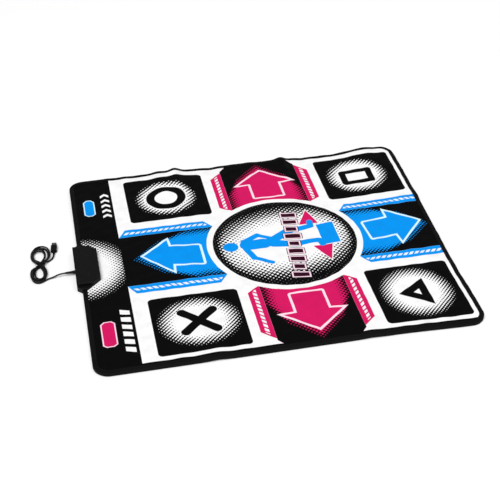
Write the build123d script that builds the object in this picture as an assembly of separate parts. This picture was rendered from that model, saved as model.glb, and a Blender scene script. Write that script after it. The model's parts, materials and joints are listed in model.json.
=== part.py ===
from build123d import *
import math
import os

# A soft dance mat: a padded, printed play sheet with ten foot switches, a control box
# clipped over its front edge, and a cord that ends in a plug. Sizes are in millimetres.
# The origin is the middle of the mat's underside. +Y is the way the player faces,
# towards the control box, +X is the player's right, and +Z is up.

# ---- mat outline and layers ----
MAT_X = 820.0              # width, left to right
MAT_Y = 930.0              # length, back to front
MAT_CORNER = 38.0          # corner radius of the whole mat
GRIP_H = 0.7               # height of the grip layer that stands on the floor
BASE_T = 1.0               # base sheet
PAD_T = 3.6                # padding foam
FILM_T = 0.3               # each contact film
SPACER_T = 1.6             # spacer foam between the films
COVER_T = 0.8              # printed cover
BINDING_T = 0.7            # edge tape
BINDING_W = 12.0           # how far the edge tape reaches in over the cover
RUN_GAP = 0.3              # gap round every piece that moves
REST_GAP = 0.1             # gap left between the films at full press

# ---- play field ----
FIELD_Y = -63.5            # centre of the field, behind the middle of the mat
CORNER_PITCH = 272.0       # field centre to the centre of each corner switch, each way
CORNER_SIDE = 184.0        # side of each corner switch
ARROW_PITCH = 292.0        # field centre to the centre of each arrow switch
ARROW_ACROSS = 172.0       # arrow switch, across its arrow
ARROW_ALONG = 160.0        # arrow switch, along its arrow
KEY_SIDE = 140.0           # start and select keys, in from the mat's sides
KEY_FRONT = 47.0           # and back from its front edge
KEY_L = 96.0
KEY_W = 44.0
ZONE_CORNER = 8.0          # corner radius of the arrow and corner switches
KEY_CORNER = 16.0

# ---- control box ----
BOX_X = -5.0               # centre of the box along the front edge
BOX_OVERHANG = 12.0        # how far it reaches past the mat's front edge
BOX_DEPTH = 60.0           # whole depth, front to back
BOX_EAR_X = 93.0           # half length, over the low ends
BOX_EAR_DEPTH = 38.0       # depth of the low ends
BOX_BODY_X = 79.0          # half length of the raised body
BOX_CUT = 20.0             # chamfer of the body's back corners
BOX_EAR_CUT = 12.0         # chamfer of the low ends' corners
BOX_EAR_H = 5.3            # low ends, above the cover
BOX_BODY_H = 12.3          # raised body, above the cover
BOX_WALL = 2.0
BOX_SOFT = 1.6             # rounded edges on top
CLAMP_W = 4.0              # sheet held between the box's two shells, inside the wall
BOX_GAP = 0.3              # gap from the box to the foam and tape that are cut round it

# ---- box screws ----
SCREW_EAR_X = 82.0
SCREW_EAR_Y = 15.0         # from the box's front
SCREW_BODY_X = 44.0
SCREW_BODY_Y = 13.0        # from the box's back
SCREW_R = 1.2
SCREW_FIT = 0.05           # gap between a screw and its hole
SCREW_HEAD_R = 2.7
SCREW_HEAD_H = 1.6
SCREW_SINK = 0.4           # head below the shell's underside
BOSS_R = 4.0
BOSS_UP = 2.7              # where the bosses meet, above the lower shell's rim
SCREW_BITE = 2.6           # screw ends this far above the split

# ---- circuit board ----
BOARD_L = 118.0
BOARD_T = 1.2
BOARD_UP = 3.9             # underside of the board, above the lower shell's rim
BOARD_FRONT = 15.0         # from the box's front to the board's front edge
BOARD_BACK = 19.0          # from the box's back to the board's back edge
POST_R = 3.2
POST_X = 52.0
POST_IN = 4.5              # posts in from the board's edges
TAIL_W = 62.0              # ribbon of contact film that runs into the box
TAIL_LAP = 9.0             # how far the ribbon lies on the board
TAIL_FLAT = 3.0
RUBBER_W = 5.0
RUBBER_T = 1.4
BAR_T = 1.8
BAR_OVER = 9.0             # clamp bar past the ribbon at each end
BAR_SCREW_H = 5.0
CHIP_X = 50.0
CHIP_R = 7.0
CHIP_H = 2.0
HEADER_L = 13.0
HEADER_W = 5.0
HEADER_H = 4.6
LEAD_R = 0.55
LEAD_PITCH = 2.4
LEAD_GATHER = 1.35         # spacing of the inner leads at the cord's end

# ---- cord, strain relief and plug ----
# The cord's places across the floor are from where it leaves the box's front face.
CORD_IN = 13.0             # cord's exit, left of the box's middle
CORD_D = 4.0
RELIEF_UP = 4.1            # height of the cord's exit, above the lower shell's rim
RELIEF_NECK_R = 3.4
RELIEF_FLANGE_R = 4.0
RELIEF_FLANGE_T = 1.8
RELIEF_L = 24.0
RELIEF_ROOT_R = 4.4
RELIEF_TIP_R = 2.7
LEAD_POINTS = [(0.0, 0.0, 0.0), (0.0, 11.0, 0.0), (-1.3, 22.0, -2.6),
               (-3.6, 33.0, -5.9), (-4.4, 42.5, -7.2), (-2.8, 49.0, -7.3)]
TAIL_POINTS = [(61.0, 73.5, 5.2), (66.5, 64.5, 3.2), (75.0, 55.0, 2.5), (84.5, 49.2, 3.9)]
TAIL_END_RUN = 10.5        # last run, in line with the plug
ARC_SHARE = 0.45           # each arc takes this share of the shorter run beside it

HANK_R = 6.2               # half thickness of the wound bundle
HANK_LOW = 0.3             # bundle's lowest point above the floor
LOOP_A = (98.0, 84.0, 28.5, 18.5)     # centre x, centre y, half length, half width
LOOP_B = (15.0, 89.5, 27.5, 15.5)
WAIST_X = (44.0, 64.0)
WAIST_Y = (74.0, 94.0)
WAIST_H = 11.0
WAIST_LOW = 1.2
TIE_T = 0.9
TIE_W = 5.0

PLUG_TURN = -5.0           # the plug lies a little askew, degrees about Z
PLUG_BOOT_L = 11.0
PLUG_BOOT_R = 2.6
PLUG_L = 25.0
PLUG_W = 15.6
PLUG_H = 7.8
PLUG_SOFT = 1.8
SHELL_L = 12.0             # metal shell beyond the plug's face
SHELL_IN = 6.0             # metal shell inside the plug
SHELL_W = 12.0
SHELL_H = 4.5
SHELL_T = 0.35
TONGUE_T = 1.7
TONGUE_L = 9.5
TONGUE_GAP = 0.05
CONTACT_W = 1.1
CONTACT_T = 0.15
CONTACT_PITCH = 2.4

# ---- heights of the layers ----
BASE_Z = GRIP_H
PAD_Z = BASE_Z + BASE_T
LOWER_FILM_Z = PAD_Z + PAD_T
SPACER_Z = LOWER_FILM_Z + FILM_T
UPPER_FILM_Z = SPACER_Z + SPACER_T
COVER_Z = UPPER_FILM_Z + FILM_T
TOP_Z = COVER_Z + COVER_T
TRAVEL = SPACER_T - REST_GAP

RIM_Z = LOWER_FILM_Z       # the box's lower shell ends under the lower film
BOX_EAR_TOP = TOP_Z + BOX_EAR_H
BOX_TOP = TOP_Z + BOX_BODY_H
BOSS_SPLIT = RIM_Z + BOSS_UP
BOARD_Z = RIM_Z + BOARD_UP
RELIEF_Z = RIM_Z + RELIEF_UP

FRONT = MAT_Y / 2
KEY_X = MAT_X / 2 - KEY_SIDE
KEY_Y = FRONT - KEY_FRONT
BOX_FRONT = FRONT + BOX_OVERHANG
BOX_BACK = BOX_FRONT - BOX_DEPTH
CORD_X = BOX_X - CORD_IN
LAYER_IN = BINDING_T                  # every layer stops where the tape's fold begins


def slab(sketch, low, high):
    """A flat sketch made into a solid between two heights."""
    return extrude(Pos(0, 0, low) * sketch, amount=high - low)


def block(x, y, z):
    """A box between three (low, high) pairs."""
    size = [pair[1] - pair[0] for pair in (x, y, z)]
    middle = [(pair[1] + pair[0]) / 2 for pair in (x, y, z)]
    return Pos(*middle) * Box(*size)


def rod(radius, low, high, x, y):
    """An upright cylinder."""
    return Pos(x, y, (low + high) / 2) * Cylinder(radius, high - low)


def mat_sketch(inset):
    """The mat's rounded outline, moved in by inset."""
    corner = MAT_CORNER - min(inset, MAT_CORNER - 1)
    return RectangleRounded(MAT_X - 2 * inset, MAT_Y - 2 * inset, corner)


def zone_list():
    """Name, centre and size of each foot switch."""
    zones = []
    corners = {"front_right": (1, 1), "front_left": (-1, 1), "back_right": (1, -1), "back_left": (-1, -1)}
    for name, (sx, sy) in corners.items():
        x = sx * CORNER_PITCH
        y = FIELD_Y + sy * CORNER_PITCH
        zones.append((name, x, y, CORNER_SIDE, CORNER_SIDE, ZONE_CORNER))
    zones.append(("front_arrow", 0, FIELD_Y + ARROW_PITCH, ARROW_ACROSS, ARROW_ALONG, ZONE_CORNER))
    zones.append(("back_arrow", 0, FIELD_Y - ARROW_PITCH, ARROW_ACROSS, ARROW_ALONG, ZONE_CORNER))
    zones.append(("right_arrow", ARROW_PITCH, FIELD_Y, ARROW_ALONG, ARROW_ACROSS, ZONE_CORNER))
    zones.append(("left_arrow", -ARROW_PITCH, FIELD_Y, ARROW_ALONG, ARROW_ACROSS, ZONE_CORNER))
    zones.append(("start_key", KEY_X, KEY_Y, KEY_L, KEY_W, KEY_CORNER))
    zones.append(("select_key", -KEY_X, KEY_Y, KEY_L, KEY_W, KEY_CORNER))
    return zones


def windows(grow):
    """All ten switch outlines, grown by a clearance."""
    shapes = [Pos(x, y) * RectangleRounded(w + 2 * grow, h + 2 * grow, r + grow)
              for _, x, y, w, h, r in zone_list()]
    return Sketch() + shapes


# ---- control box outlines ----

def ear_outline(inset=0.0):
    """The low, full-length part of the box: a long plate with cut corners."""
    half = BOX_EAR_X - inset
    front = BOX_FRONT - inset
    back = BOX_FRONT - BOX_EAR_DEPTH + inset
    cut = BOX_EAR_CUT
    points = [(BOX_X - half, back + cut), (BOX_X - half + cut, back), (BOX_X + half - cut, back),
              (BOX_X + half, back + cut), (BOX_X + half, front - cut), (BOX_X + half - cut, front),
              (BOX_X - half + cut, front), (BOX_X - half, front - cut)]
    return make_face(Polyline(*points, close=True))


def body_outline(inset=0.0):
    """The raised body: straight in front, with its back corners cut off."""
    half = BOX_BODY_X - inset
    front = BOX_FRONT - inset
    back = BOX_BACK + inset
    cut = BOX_CUT
    points = [(BOX_X - half, back + cut), (BOX_X - half + cut, back), (BOX_X + half - cut, back),
              (BOX_X + half, back + cut), (BOX_X + half, front), (BOX_X - half, front)]
    return make_face(Polyline(*points, close=True))


def box_outline(inset=0.0):
    """Everything that the box covers, seen from above."""
    return ear_outline(inset) + body_outline(inset)


def box_hole(grow):
    """The notch that foam and tape leave for the box, open at the mat's front edge."""
    notch = box_outline(-grow)
    mouth = Pos(BOX_X, FRONT) * Rectangle(2 * (BOX_EAR_X + grow), 2 * (BOX_OVERHANG + grow))
    return notch + mouth


def sheet_hole():
    """The smaller notch in the sheets that the box's two shells clamp between them."""
    inset = BOX_WALL + CLAMP_W
    notch = box_outline(inset)
    mouth = Pos(BOX_X, FRONT) * Rectangle(2 * (BOX_EAR_X - inset), 2 * (BOX_OVERHANG + inset))
    return notch + mouth


# ---- mat layers ----

def base_sheet():
    """Base cloth, with the grip layer under all of it that the edge tape leaves free."""
    cloth = slab(mat_sketch(LAYER_IN) - box_hole(BOX_GAP), BASE_Z, PAD_Z)
    grip = slab(mat_sketch(BINDING_W + RUN_GAP) - box_hole(BOX_GAP), 0, BASE_Z)
    return cloth + grip


def padding_foam():
    return slab(mat_sketch(LAYER_IN) - box_hole(BOX_GAP), PAD_Z, LOWER_FILM_Z)


def lower_contact_film():
    return slab(mat_sketch(LAYER_IN) - sheet_hole(), LOWER_FILM_Z, SPACER_Z)


def spacer_sheet():
    return slab(mat_sketch(LAYER_IN) - sheet_hole() - windows(RUN_GAP), SPACER_Z, UPPER_FILM_Z)


def upper_contact_film():
    return slab(mat_sketch(LAYER_IN) - sheet_hole() - windows(RUN_GAP), UPPER_FILM_Z, COVER_Z)


def cover_sheet():
    return slab(mat_sketch(LAYER_IN) - sheet_hole() - windows(RUN_GAP), COVER_Z, TOP_Z)


def edge_binding():
    """Tape folded round the edge: a band on each face and the fold that joins them."""
    ring = mat_sketch(0) - mat_sketch(BINDING_W)
    fold = mat_sketch(0) - mat_sketch(LAYER_IN)
    gap = box_hole(BOX_GAP)
    low = slab(ring - gap, 0, BASE_Z)
    high = slab(ring - gap, TOP_Z, TOP_Z + BINDING_T)
    side = slab(fold - gap, BASE_Z, TOP_Z)
    return low + side + high


# ---- control box ----

def screw_places():
    rows = ((SCREW_EAR_X, BOX_FRONT - SCREW_EAR_Y), (SCREW_BODY_X, BOX_BACK + SCREW_BODY_Y))
    return [(BOX_X + side * x, y) for side in (-1, 1) for x, y in rows]


def board_edges():
    return BOX_BACK + BOARD_BACK, BOX_FRONT - BOARD_FRONT


def post_places():
    back, front = board_edges()
    return [(BOX_X + sx * POST_X, y) for sx in (-1, 1) for y in (back + POST_IN, front - POST_IN)]


def box_lower_shell():
    """Shallow tray under the sheets, with screw bosses and posts for the board."""
    tray = slab(box_outline(), 0, RIM_Z) - slab(box_outline(BOX_WALL), BOX_WALL, RIM_Z)
    for x, y in screw_places():
        tray += rod(BOSS_R, BOX_WALL, BOSS_SPLIT, x, y)
        tray -= rod(SCREW_R + SCREW_FIT, 0, BOSS_SPLIT, x, y)
        tray -= rod(SCREW_HEAD_R + SCREW_FIT, 0, SCREW_SINK + SCREW_HEAD_H, x, y)
    for x, y in post_places():
        tray += rod(POST_R, BOX_WALL, BOARD_Z, x, y)
    return tray


def box_upper_shell():
    """Cover of the box: low ends, raised body, and a skirt in front of the mat's edge."""
    low = slab(ear_outline(), TOP_Z, BOX_EAR_TOP)
    high = slab(body_outline(), TOP_Z, BOX_TOP)
    low = fillet(low.edges().filter_by(Plane.XY).group_by(Axis.Z)[-1], BOX_SOFT)
    high = fillet(high.edges().filter_by(Plane.XY).group_by(Axis.Z)[-1], BOX_SOFT)
    over_mat = FRONT + REST_GAP
    skirt = slab(box_outline(), RIM_Z, TOP_Z) & block(
        (BOX_X - BOX_EAR_X, BOX_X + BOX_EAR_X), (over_mat, BOX_FRONT), (RIM_Z, TOP_Z))
    outside = low + high + skirt
    hollow = slab(ear_outline(BOX_WALL), RIM_Z, BOX_EAR_TOP - BOX_WALL)
    hollow += slab(body_outline(BOX_WALL), RIM_Z, BOX_TOP - BOX_WALL)
    shell = outside - hollow
    for x, y in screw_places():
        roof = BOX_TOP - BOX_WALL if abs(x - BOX_X) < BOX_BODY_X else BOX_EAR_TOP - BOX_WALL
        shell += rod(BOSS_R, BOSS_SPLIT, roof, x, y)
        shell -= rod(SCREW_R + SCREW_FIT, BOSS_SPLIT, BOSS_SPLIT + SCREW_BITE + REST_GAP, x, y)
    exit_hole = Pos(CORD_X, BOX_FRONT - BOX_WALL / 2, RELIEF_Z) * Rot(90, 0, 0) * Cylinder(
        RELIEF_NECK_R + SCREW_FIT, 2 * BOX_WALL)
    return shell - exit_hole


def box_screws():
    """Four countersunk-flat screws, put in from underneath."""
    screws = []
    for x, y in screw_places():
        head_top = SCREW_SINK + SCREW_HEAD_H
        screw = rod(SCREW_HEAD_R, SCREW_SINK, head_top, x, y)
        screw += rod(SCREW_R, head_top, BOSS_SPLIT + SCREW_BITE, x, y)
        slot = block((x - SCREW_HEAD_R, x + SCREW_HEAD_R), (y - 0.3, y + 0.3), (SCREW_SINK, SCREW_SINK + 0.6))
        screws.append(screw - slot)
    return Compound(children=screws)


def circuit_board():
    back, front = board_edges()
    half = BOARD_L / 2
    return block((BOX_X - half, BOX_X + half), (back, front), (BOARD_Z, BOARD_Z + BOARD_T))


def sheet_edge():
    """Where the clamped sheets end inside the box, at its back."""
    return BOX_BACK + BOX_WALL + CLAMP_W


def film_tail():
    """Ribbon of the lower film: out of the sheets, up, and flat onto the board."""
    back, _ = board_edges()
    top = BOARD_Z + BOARD_T
    start = sheet_edge()
    rise = [(start, LOWER_FILM_Z), (start + TAIL_FLAT, LOWER_FILM_Z), (back - TAIL_FLAT / 3, top),
            (back + TAIL_LAP, top)]
    over = [(y, z + FILM_T) for y, z in rise]
    over[1] = (over[1][0] - FILM_T / 2, over[1][1])
    over[2] = (over[2][0] - FILM_T / 2, over[2][1])
    outline = Plane.YZ * make_face(Polyline(*rise, *reversed(over), close=True))
    return Pos(BOX_X - TAIL_W / 2, 0, 0) * extrude(outline, amount=TAIL_W, dir=(1, 0, 0))


def clamp_y():
    back, _ = board_edges()
    middle = back + TAIL_LAP / 2
    return middle - RUBBER_W / 2, middle + RUBBER_W / 2


def tail_rubber():
    """Rubber strip that presses the ribbon onto the board."""
    low = BOARD_Z + BOARD_T + FILM_T
    return block((BOX_X - TAIL_W / 2, BOX_X + TAIL_W / 2), clamp_y(), (low, low + RUBBER_T))


def bar_z():
    low = BOARD_Z + BOARD_T + FILM_T + RUBBER_T
    return low, low + BAR_T


def bar_screw_places():
    reach = TAIL_W / 2 + BAR_OVER / 2
    return [(BOX_X + side * reach, sum(clamp_y()) / 2) for side in (-1, 1)]


def clamp_bar():
    """Bar over the rubber strip, with two feet that stand on the board."""
    half = TAIL_W / 2 + BAR_OVER
    bar = block((BOX_X - half, BOX_X + half), clamp_y(), bar_z())
    for x, y in bar_screw_places():
        foot = BAR_OVER / 2 - RUN_GAP
        bar += block((x - foot, x + foot), clamp_y(), (BOARD_Z + BOARD_T, bar_z()[0]))
        bar -= rod(SCREW_R + SCREW_FIT, BOARD_Z, bar_z()[1] + 1, x, y)
    return bar


def clamp_screws():
    """Two screws through the clamp bar, each standing on the board."""
    screws = []
    for x, y in bar_screw_places():
        head = bar_z()[1]
        screws.append(rod(SCREW_R, BOARD_Z + BOARD_T, head, x, y) + rod(SCREW_HEAD_R - 0.4, head, head + 1.1, x, y))
    return Compound(children=screws)


def controller_chip():
    """Resin dome over the controller die."""
    back, front = board_edges()
    top = BOARD_Z + BOARD_T
    y = front - CHIP_R - 1.5
    ball_r = (CHIP_R ** 2 + CHIP_H ** 2) / (2 * CHIP_H)
    dome = Pos(BOX_X + CHIP_X, y, top + CHIP_H - ball_r) * Sphere(ball_r)
    return dome & block((BOX_X, BOX_X + BOARD_L / 2), (back, front), (top, top + CHIP_H))


def board_parts():
    """Crystal, two capacitors and a row of resistors."""
    _, front = board_edges()
    top = BOARD_Z + BOARD_T
    parts = [Pos(BOX_X + 36, front - 5, top + 1.75) * Box(10.5, 4.0, 3.5),
             rod(2.5, top, top + 6.0, BOX_X - 24, front - 5),
             rod(2.0, top, top + 5.0, BOX_X - 31, front - 5)]
    for step in range(4):
        parts.append(Pos(BOX_X - 43 - 4 * step, front - 12, top + 0.5) * Box(1.6, 3.2, 1.0))
    return Compound(children=parts)


def header_y():
    _, front = board_edges()
    return front - HEADER_W - 1.0, front - 1.0


def cord_header():
    """Socket on the board that the cord's leads run to."""
    top = BOARD_Z + BOARD_T
    return block((CORD_X - HEADER_L / 2, CORD_X + HEADER_L / 2), header_y(), (top, top + HEADER_H))


def inner_leads():
    """Four leads from the cord's end to the socket."""
    leads = []
    end_y = BOX_FRONT - BOX_WALL - RELIEF_FLANGE_T
    for step in (-1.5, -0.5, 0.5, 1.5):
        start = Vector(CORD_X + step * LEAD_PITCH, header_y()[1], BOARD_Z + BOARD_T + HEADER_H / 2)
        end = Vector(CORD_X + step * LEAD_GATHER, end_y, RELIEF_Z)
        way = end - start
        leads.append(extrude(Plane(origin=start, z_dir=way) * Circle(LEAD_R), amount=way.length))
    cut = block((CORD_X - 20, CORD_X + 20), (header_y()[1], end_y), (BOARD_Z, BOX_TOP))
    return Compound(children=[lead & cut for lead in leads])


# ---- cord ----

def along_y(radius_a, radius_b, start, length):
    """A round piece on the cord's exit line, tapering from one radius to the other."""
    place = Pos(CORD_X, start + length / 2, RELIEF_Z) * Rot(-90, 0, 0)
    if radius_a == radius_b:
        return place * Cylinder(radius_a, length)
    return place * Cone(radius_a, radius_b, length)


def strain_relief():
    """Flange inside the wall, neck through it, and a tapered boot with ring grooves."""
    inner = BOX_FRONT - BOX_WALL
    boot = along_y(RELIEF_FLANGE_R, RELIEF_FLANGE_R, inner - RELIEF_FLANGE_T, RELIEF_FLANGE_T)
    boot += along_y(RELIEF_NECK_R, RELIEF_NECK_R, inner, BOX_WALL)
    boot += along_y(RELIEF_ROOT_R, RELIEF_TIP_R, BOX_FRONT, RELIEF_L)
    for step in range(4):
        y = BOX_FRONT + 5.0 + 4.2 * step
        outer = RELIEF_ROOT_R + 1
        share = (y - BOX_FRONT) / RELIEF_L
        inner_r = RELIEF_ROOT_R + (RELIEF_TIP_R - RELIEF_ROOT_R) * share - 0.7
        groove = along_y(outer, outer, y, 1.6) - along_y(inner_r, inner_r, y, 1.6)
        boot -= groove
    return boot


def cord_path(points):
    """Straight runs joined by tangent arcs, each arc as large as its two runs allow."""
    radii = []
    for before, here, after in zip(points, points[1:], points[2:]):
        first = Vector(*here) - Vector(*before)
        second = Vector(*after) - Vector(*here)
        half_turn = math.radians(first.get_angle(second)) / 2
        radii.append(ARC_SHARE * min(first.length, second.length) / math.tan(half_turn))
    print("cord radii:", [round(r, 1) for r in radii])
    return FilletPolyline(*points, radius=radii)


def cord_tube(points, name):
    path = cord_path(points)
    start = Vector(*points[0])
    section = Plane(origin=start, z_dir=Vector(*points[1]) - start) * Circle(CORD_D / 2)
    tube = sweep(section, path=path)
    expected = math.pi * (CORD_D / 2) ** 2 * path.length
    print(name, "length", round(path.length, 1), "volume", round(tube.volume), "of", round(expected))
    return tube


def lead_points():
    start = (CORD_X, BOX_FRONT + RELIEF_L, RELIEF_Z)
    return [tuple(a + b for a, b in zip(start, point)) for point in LEAD_POINTS]


def cord_lead():
    return cord_tube(lead_points(), "lead")


def tail_points():
    """The tail's route, with a last run square to the plug's boot."""
    points = [(CORD_X + x, BOX_FRONT + y, z) for x, y, z in TAIL_POINTS]
    turn = math.radians(PLUG_TURN)
    x, y, z = points[-1]
    points.append((x + TAIL_END_RUN * math.cos(turn), y + TAIL_END_RUN * math.sin(turn), z))
    return points


def cord_tail():
    return cord_tube(tail_points(), "tail")


def loop_ring(loop):
    """One loop of the wound cord, as a fat oval ring."""
    x, y, half_l, half_w = loop
    height = HANK_LOW + HANK_R
    path = Pos(CORD_X + x, BOX_FRONT + y, height) * Ellipse(half_l, half_w).edge()
    section = Plane(origin=path @ 0, z_dir=path % 0) * Circle(HANK_R)
    return sweep(section, path=path)


def cord_hank():
    """The wound cord: two loops, pinched together at the waist."""
    waist = block(WAIST_X, WAIST_Y, (WAIST_LOW, WAIST_LOW + WAIST_H))
    return loop_ring(LOOP_A) + loop_ring(LOOP_B) + Pos(CORD_X, BOX_FRONT, 0) * waist


def cable_tie():
    """Band round the waist."""
    middle = sum(WAIST_X) / 2
    x = (middle - TIE_W / 2, middle + TIE_W / 2)
    y = (WAIST_Y[0] - TIE_T, WAIST_Y[1] + TIE_T)
    outside = block(x, y, (WAIST_LOW - TIE_T, WAIST_LOW + WAIST_H + TIE_T))
    inside = block(x, WAIST_Y, (WAIST_LOW, WAIST_LOW + WAIST_H))
    return Pos(CORD_X, BOX_FRONT, 0) * (outside - inside)


# ---- plug, drawn along +X from the cord's end ----

def plug_place(shape):
    return Pos(*tail_points()[-1]) * Rot(0, 0, PLUG_TURN) * shape


def plug_body():
    """Moulded grip with a tapered boot and a pocket for the metal shell."""
    boot = Pos(PLUG_BOOT_L / 2, 0, 0) * Rot(0, 90, 0) * Cone(PLUG_BOOT_R, PLUG_BOOT_R + 0.9, PLUG_BOOT_L)
    grip = Pos(PLUG_BOOT_L + PLUG_L / 2, 0, 0) * Box(PLUG_L, PLUG_W, PLUG_H)
    grip = fillet(grip.edges().filter_by(Axis.X), PLUG_SOFT)
    pocket = Pos(PLUG_BOOT_L + PLUG_L - SHELL_IN / 2, 0, 0) * Box(SHELL_IN, SHELL_W, SHELL_H)
    return plug_place(boot + grip - pocket)


def shell_span():
    face = PLUG_BOOT_L + PLUG_L
    return face - SHELL_IN, face + SHELL_L


def plug_shell():
    """Open-ended rectangular metal shell."""
    low, high = shell_span()
    middle = (low + high) / 2
    length = high - low
    tube = Pos(middle, 0, 0) * Box(length, SHELL_W, SHELL_H)
    mouth = Pos(middle, 0, 0) * Box(length, SHELL_W - 2 * SHELL_T, SHELL_H - 2 * SHELL_T)
    tube -= mouth
    for side in (-1, 1):
        for up in (-1, 1):
            tube -= Pos(high - 5.0, side * SHELL_W / 4, up * SHELL_H / 2) * Box(2.4, 2.2, 1.0)
    return plug_place(tube)


def plug_tongue():
    """Insulating tongue and the block that fills the shell's inner end."""
    low, high = shell_span()
    inside_w = SHELL_W - 2 * SHELL_T - 2 * TONGUE_GAP
    inside_h = SHELL_H - 2 * SHELL_T - 2 * TONGUE_GAP
    root = high - TONGUE_L - 0.6
    filler = Pos((low + root) / 2, 0, 0) * Box(root - low, inside_w, inside_h)
    tongue_z = -inside_h / 2 + TONGUE_T / 2
    tongue = Pos(root + TONGUE_L / 2, 0, tongue_z) * Box(TONGUE_L, inside_w, TONGUE_T)
    return plug_place(filler + tongue)


def plug_contacts():
    """Four contact strips on the tongue."""
    _, high = shell_span()
    top = -(SHELL_H - 2 * SHELL_T - 2 * TONGUE_GAP) / 2 + TONGUE_T
    length = TONGUE_L - 1.0
    middle = high - 0.6 - TONGUE_L / 2
    strips = [Pos(middle, step * CONTACT_PITCH, top + CONTACT_T / 2) * Box(length, CONTACT_W, CONTACT_T)
              for step in (-1.5, -0.5, 0.5, 1.5)]
    return Compound(children=[plug_place(strip) for strip in strips])


# ---- foot switches ----

def switch_panels():
    """Each switch: its piece of the cover, and the piece of contact film under it."""
    pieces = {}
    for name, x, y, w, h, r in zone_list():
        outline = Pos(x, y) * RectangleRounded(w, h, r)
        pieces[name + "_panel"] = slab(outline, COVER_Z, TOP_Z)
        pieces[name + "_contact"] = slab(outline, UPPER_FILM_Z, COVER_Z)
    return pieces


PARTS = [base_sheet, padding_foam, lower_contact_film, spacer_sheet, upper_contact_film, cover_sheet,
         edge_binding, box_lower_shell, box_upper_shell, box_screws, circuit_board, film_tail,
         tail_rubber, clamp_bar, clamp_screws, controller_chip, board_parts, cord_header, inner_leads,
         strain_relief, cord_lead, cord_hank, cord_tail, cable_tie, plug_body, plug_shell, plug_tongue,
         plug_contacts]

os.makedirs("parts", exist_ok=True)
for make in PARTS:
    export_step(make(), f"parts/{make.__name__}.step")
for name, piece in switch_panels().items():
    export_step(piece, f"parts/{name}.step")
print("switch travel:", TRAVEL)
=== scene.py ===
import bpy
import bmesh
import json
import math
import numpy as np
from mathutils import Matrix, Vector

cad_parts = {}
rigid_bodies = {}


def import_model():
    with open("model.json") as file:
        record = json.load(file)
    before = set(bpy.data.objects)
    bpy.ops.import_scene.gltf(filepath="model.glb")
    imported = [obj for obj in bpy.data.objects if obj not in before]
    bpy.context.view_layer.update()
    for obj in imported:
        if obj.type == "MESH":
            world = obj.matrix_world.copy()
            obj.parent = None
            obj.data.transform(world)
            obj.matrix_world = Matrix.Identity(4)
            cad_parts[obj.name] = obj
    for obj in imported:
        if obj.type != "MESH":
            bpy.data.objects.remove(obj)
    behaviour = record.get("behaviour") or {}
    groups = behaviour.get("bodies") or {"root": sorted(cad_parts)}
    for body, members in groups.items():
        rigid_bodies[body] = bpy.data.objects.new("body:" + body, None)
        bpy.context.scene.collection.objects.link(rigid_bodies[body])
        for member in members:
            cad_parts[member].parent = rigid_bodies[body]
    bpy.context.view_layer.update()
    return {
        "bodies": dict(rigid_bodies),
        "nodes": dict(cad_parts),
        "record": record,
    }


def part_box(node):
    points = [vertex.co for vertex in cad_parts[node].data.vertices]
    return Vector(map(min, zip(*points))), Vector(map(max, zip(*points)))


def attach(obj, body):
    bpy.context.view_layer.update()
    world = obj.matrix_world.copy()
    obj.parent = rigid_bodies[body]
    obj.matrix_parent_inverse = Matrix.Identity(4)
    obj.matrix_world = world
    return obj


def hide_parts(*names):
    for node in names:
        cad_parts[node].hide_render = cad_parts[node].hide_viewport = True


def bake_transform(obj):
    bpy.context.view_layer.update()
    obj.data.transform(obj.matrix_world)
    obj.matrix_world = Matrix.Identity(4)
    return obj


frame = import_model()
nodes = frame["nodes"]
millimetre = 0.001


def nodeBox(name):  # lowest and highest corner of a part, in millimetres
    low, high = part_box(name)
    return [c / millimetre for c in low], [c / millimetre for c in high]


# where things are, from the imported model
zoneNames = [body for body in frame["bodies"] if body != "mat"]
zones = {name: nodeBox(name + "_panel") for name in zoneNames}
tapeLow, tapeHigh = nodeBox("edge_binding")
coverLow, coverHigh = nodeBox("cover_sheet")
shellLow, shellHigh = nodeBox("box_upper_shell")
boxMid = (shellLow[0] + shellHigh[0]) / 2
boxFront, boxBack = shellHigh[1], shellLow[1]
fieldMid = (zones["front_arrow"][0][1] + zones["front_arrow"][1][1]
            + zones["back_arrow"][0][1] + zones["back_arrow"][1][1]) / 4

# camera
shot = {"place": (-2.21323, 0.46868, 1.62763), "turn": -101.231, "tilt": 35.91,
        "roll": -0.756, "lens": 77.9, "near": 0.05, "far": 60}


def makeCamera():
    turn, tilt, roll = (math.radians(shot[key]) for key in ("turn", "tilt", "roll"))
    back = Vector((math.sin(turn) * math.cos(tilt), -math.cos(turn) * math.cos(tilt), math.sin(tilt)))
    right = Vector((math.cos(turn), math.sin(turn), 0))
    up = back.cross(right)
    rolledRight = math.cos(roll) * right + math.sin(roll) * up
    rolledUp = -math.sin(roll) * right + math.cos(roll) * up
    lens = bpy.data.cameras.new("studioCamera")
    lens.lens = shot["lens"]
    lens.sensor_width = 36
    lens.clip_start, lens.clip_end = shot["near"], shot["far"]
    camera = bpy.data.objects.new("studioCamera", lens)
    camera.matrix_world = Matrix.Translation(shot["place"]) @ Matrix(
        (rolledRight, rolledUp, back)).transposed().to_4x4()
    bpy.context.scene.collection.objects.link(camera)
    bpy.context.scene.camera = camera


makeCamera()
print("stage: camera")

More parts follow.
